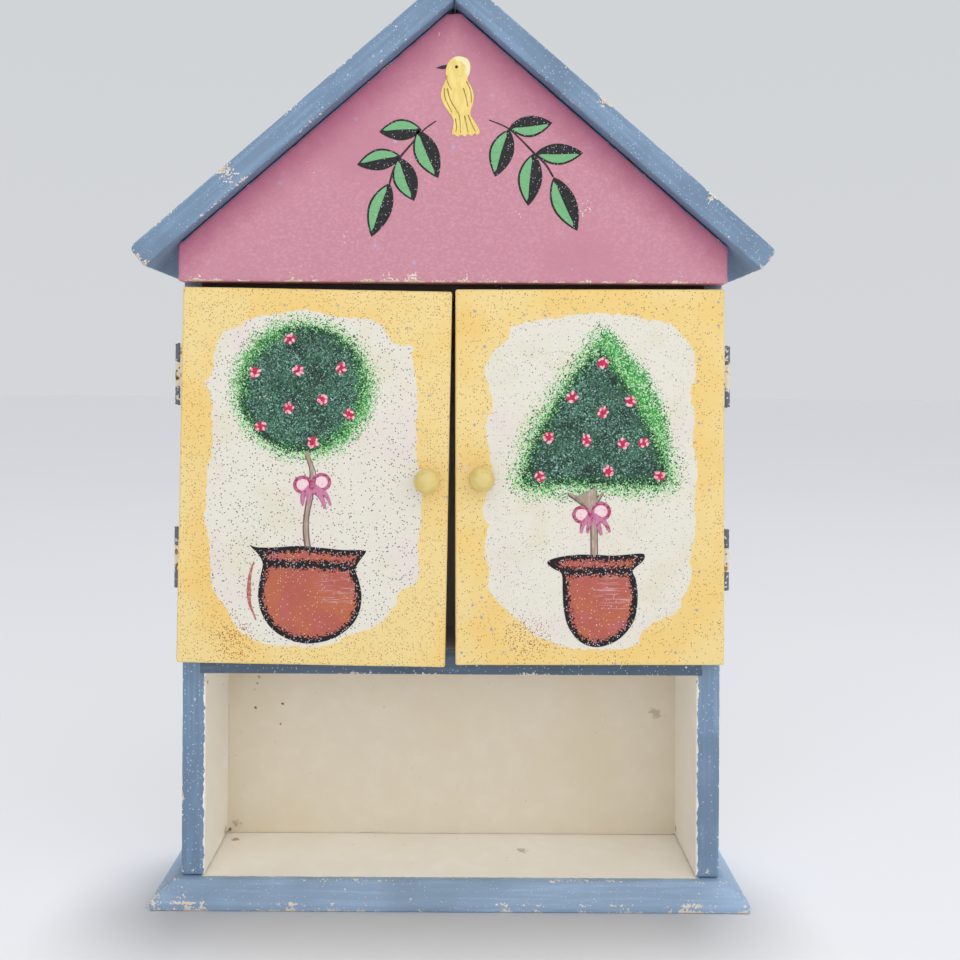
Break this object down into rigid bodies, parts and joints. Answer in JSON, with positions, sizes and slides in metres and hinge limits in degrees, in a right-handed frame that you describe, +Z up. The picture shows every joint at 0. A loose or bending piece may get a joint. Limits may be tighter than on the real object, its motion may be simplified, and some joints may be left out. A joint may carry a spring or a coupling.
{
  "type": "birdhouse-shaped shelf cabinet",
  "caption": "Painted wooden cabinet shaped like a birdhouse: gabled roof, a pair of hinged doors with knobs, an open cubby below and a flat base to stand on.",
  "frame": {"origin": "centre of the bounding box at the underside of the base board, where it stands", "axes": "+Z up, the longest side; +Y to the back, the shortest side; the doors face -Y"},
  "size_m": [0.2606, 0.0716, 0.3856],
  "materials": {
    "blue_paint": "worn blue milk paint with white spatter and rubbed edges",
    "cream_paint": "satin cream paint",
    "pink_paint": "matt dusty pink paint with painted leaves and a bird",
    "yellow_paint": "matt yellow paint around a cream patch with a painted potted tree",
    "knob_paint": "satin yellow paint, worn pale at the rim",
    "brass": "brass-plated leaves painted over and worn through",
    "steel": "zinc-plated screws, brads, nails and pins"
  },
  "bodies": {
    "cabinet": {"back_panel": "cream_paint", "base_board": "blue_paint", "base_screw_left_back": "steel", "base_screw_left_front": "steel", "base_screw_right_back": "steel", "base_screw_right_front": "steel", "ceiling_board": "cream_paint", "gable_brad_left": "steel", "gable_brad_right": "steel", "gable_front": "pink_paint", "hinge_left_lower_cabinet_leaf": "brass", "hinge_left_lower_cabinet_screw_lower": "steel", "hinge_left_lower_cabinet_screw_upper": "steel", "hinge_left_lower_pin": "steel", "hinge_left_upper_cabinet_leaf": "brass", "hinge_left_upper_cabinet_screw_lower": "steel", "hinge_left_upper_cabinet_screw_upper": "steel", "hinge_left_upper_pin": "steel", "hinge_right_lower_cabinet_leaf": "brass", "hinge_right_lower_cabinet_screw_lower": "steel", "hinge_right_lower_cabinet_screw_upper": "steel", "hinge_right_lower_pin": "steel", "hinge_right_upper_cabinet_leaf": "brass", "hinge_right_upper_cabinet_screw_lower": "steel", "hinge_right_upper_cabinet_screw_upper": "steel", "hinge_right_upper_pin": "steel", "middle_shelf": "cream_paint", "roof_board_left": "blue_paint", "roof_board_right": "blue_paint", "roof_nail_left_back": "steel", "roof_nail_left_front": "steel", "roof_nail_right_back": "steel", "roof_nail_right_front": "steel", "side_panel_left": "blue_paint", "side_panel_right": "blue_paint"},
    "left_door": {"door_left": "yellow_paint", "hinge_left_lower_door_leaf": "brass", "hinge_left_lower_door_screw_lower": "steel", "hinge_left_lower_door_screw_upper": "steel", "hinge_left_upper_door_leaf": "brass", "hinge_left_upper_door_screw_lower": "steel", "hinge_left_upper_door_screw_upper": "steel", "knob_left": "knob_paint", "knob_screw_left": "steel"},
    "right_door": {"door_right": "yellow_paint", "hinge_right_lower_door_leaf": "brass", "hinge_right_lower_door_screw_lower": "steel", "hinge_right_lower_door_screw_upper": "steel", "hinge_right_upper_door_leaf": "brass", "hinge_right_upper_door_screw_lower": "steel", "hinge_right_upper_door_screw_upper": "steel", "knob_right": "knob_paint", "knob_screw_right": "steel"}
  },
  "joints": [
    {"name": "left_door_hinge", "type": "hinge", "parent": "cabinet", "child": "left_door", "pos_m": [-0.1148, -0.01445, 0.1793], "axis": [0, 0, -1], "range_deg": [0, 170]},
    {"name": "right_door_hinge", "type": "hinge", "parent": "cabinet", "child": "right_door", "pos_m": [0.1148, -0.01445, 0.1793], "axis": [0, 0, 1], "range_deg": [0, 170]}
  ]
}
